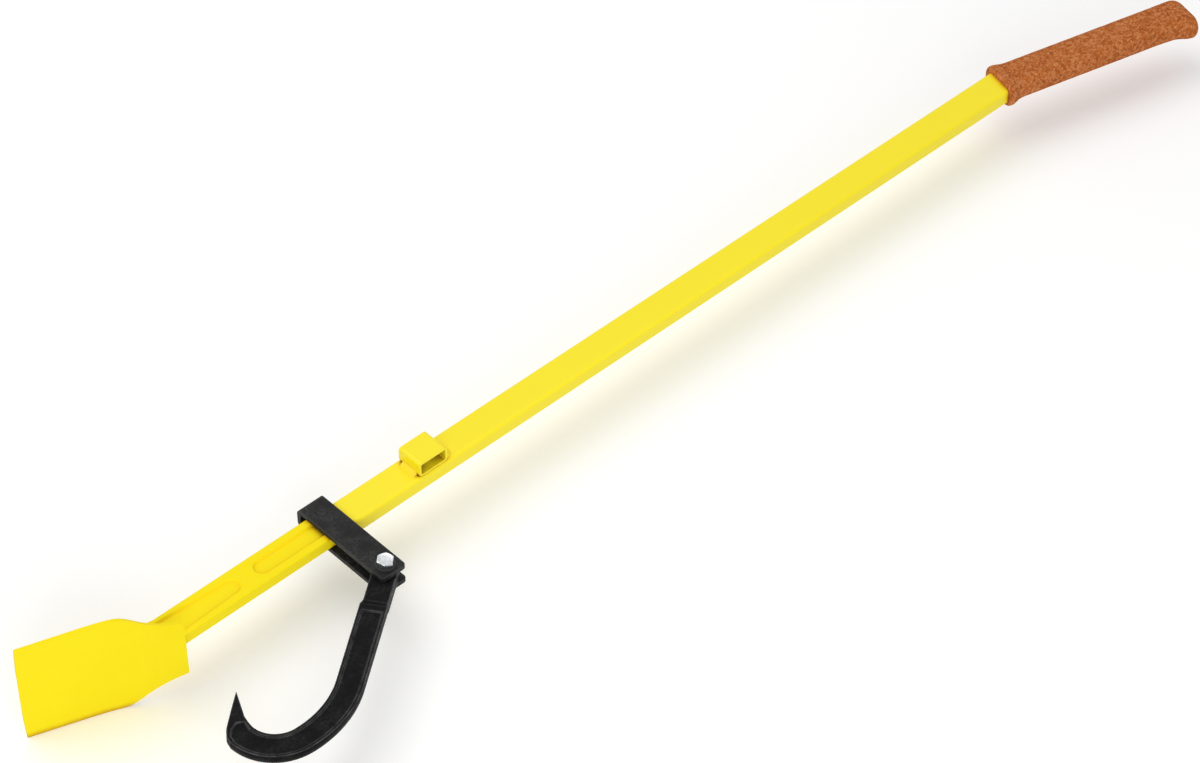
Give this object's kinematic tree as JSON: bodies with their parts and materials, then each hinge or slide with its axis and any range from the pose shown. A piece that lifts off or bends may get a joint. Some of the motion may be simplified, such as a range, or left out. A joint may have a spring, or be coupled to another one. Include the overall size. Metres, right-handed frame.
{
  "type": "felling lever",
  "caption": "Forestry lever with a flat forged blade, a bent bar with a grip and a log-turning hook on a loose shackle that slides along the bar.",
  "frame": {"origin": "bottom centre of the overall box, with the lever lying on the blade's side edge at z = 0", "axes": "+X along the straight bar towards the grip, +Y towards the bar's upper edge, away from the hook, +Z normal to the bar's wide face"},
  "size_m": [1.2966, 0.1998, 0.104],
  "materials": {
    "yellow_paint": "satin",
    "black_forging": "satin",
    "zinc_plate": "satin",
    "black_washer": "satin",
    "locking_ring": "matte",
    "cork_rubber": "matte"
  },
  "bodies": {
    "lever": {"blade": "yellow_paint", "tube": "yellow_paint", "stop_loop": "yellow_paint", "loop_weld_front": "yellow_paint", "loop_weld_rear": "yellow_paint", "grip": "cork_rubber"},
    "shackle": {"shackle": "black_forging", "pivot_bolt": "zinc_plate", "head_washer": "black_washer", "nut_washer": "black_washer", "lock_nut": "zinc_plate", "nut_insert": "locking_ring"},
    "hook": {"hook": "black_forging"}
  },
  "joints": [
    {"name": "shackle_slide", "type": "slide", "parent": "lever", "child": "shackle", "axis": [1, 0, 0], "range_m": [-0.151, 0]},
    {"name": "hook_pivot", "type": "hinge", "parent": "shackle", "child": "hook", "pos_m": [-0.35604, 0.00052, 0.052], "axis": [0, 0, 1], "range_deg": [-20, 160]}
  ]
}
